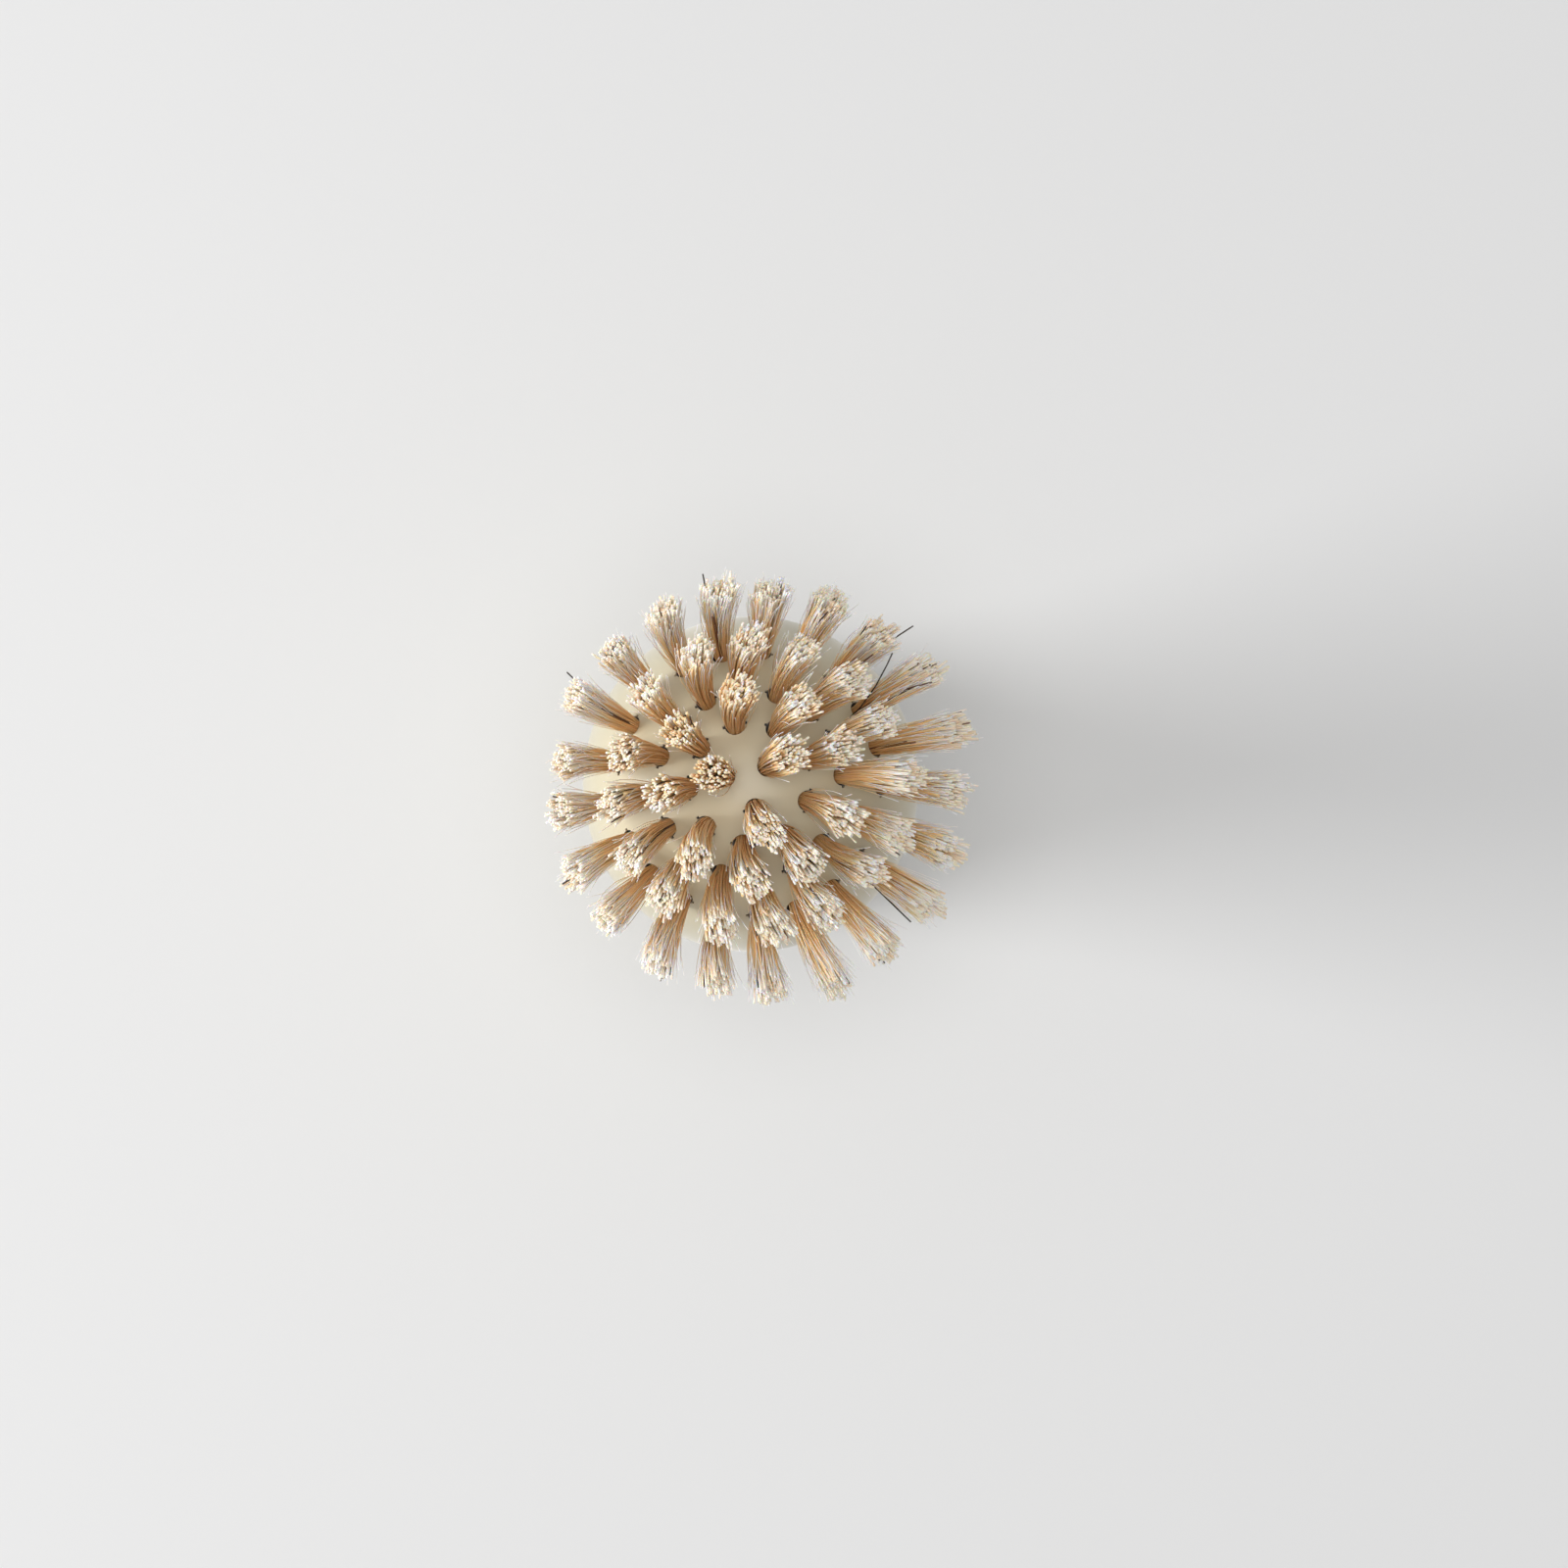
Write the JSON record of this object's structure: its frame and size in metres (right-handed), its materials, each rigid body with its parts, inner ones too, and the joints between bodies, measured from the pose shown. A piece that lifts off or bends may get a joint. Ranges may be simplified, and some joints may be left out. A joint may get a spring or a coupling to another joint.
{
  "type": "kitchen brush",
  "caption": "Upright kitchen brush: smooth moulded ball head on a waisted grip with a flat foot, and round tufts of natural bristle set over the top of the ball.",
  "frame": {"origin": "centre of the foot's underside, on the surface that the brush stands on", "axes": "+Z up along the body's axis to the bristles, +X to the right and +Y up in the picture, which looks straight down"},
  "size_m": [0.0611, 0.062, 0.104],
  "materials": {
    "body_plastic": "smooth glossy khaki-beige moulded plastic",
    "anchor_wire": "plain cut flat wire",
    "bristle": "undyed natural bristle, tan along its length with pale cut ends"
  },
  "bodies": {
    "root": {"body": "body_plastic", "anchors": "anchor_wire", "tuft_crown_1": "bristle", "tuft_crown_2": "bristle", "tuft_crown_3": "bristle", "tuft_inner_1": "bristle", "tuft_inner_2": "bristle", "tuft_inner_3": "bristle", "tuft_inner_4": "bristle", "tuft_inner_5": "bristle", "tuft_inner_6": "bristle", "tuft_inner_7": "bristle", "tuft_inner_8": "bristle", "tuft_inner_9": "bristle", "tuft_middle_1": "bristle", "tuft_middle_2": "bristle", "tuft_middle_3": "bristle", "tuft_middle_4": "bristle", "tuft_middle_5": "bristle", "tuft_middle_6": "bristle", "tuft_middle_7": "bristle", "tuft_middle_8": "bristle", "tuft_middle_9": "bristle", "tuft_middle_10": "bristle", "tuft_middle_11": "bristle", "tuft_middle_12": "bristle", "tuft_middle_13": "bristle", "tuft_middle_14": "bristle", "tuft_middle_15": "bristle", "tuft_middle_16": "bristle", "tuft_outer_1": "bristle", "tuft_outer_2": "bristle", "tuft_outer_3": "bristle", "tuft_outer_4": "bristle", "tuft_outer_5": "bristle", "tuft_outer_6": "bristle", "tuft_outer_7": "bristle", "tuft_outer_8": "bristle", "tuft_outer_9": "bristle", "tuft_outer_10": "bristle", "tuft_outer_11": "bristle", "tuft_outer_12": "bristle", "tuft_outer_13": "bristle", "tuft_outer_14": "bristle", "tuft_outer_15": "bristle", "tuft_outer_16": "bristle", "tuft_outer_17": "bristle", "tuft_outer_18": "bristle", "tuft_outer_19": "bristle", "tuft_outer_20": "bristle", "tuft_outer_21": "bristle"}
  },
  "joints": []
}
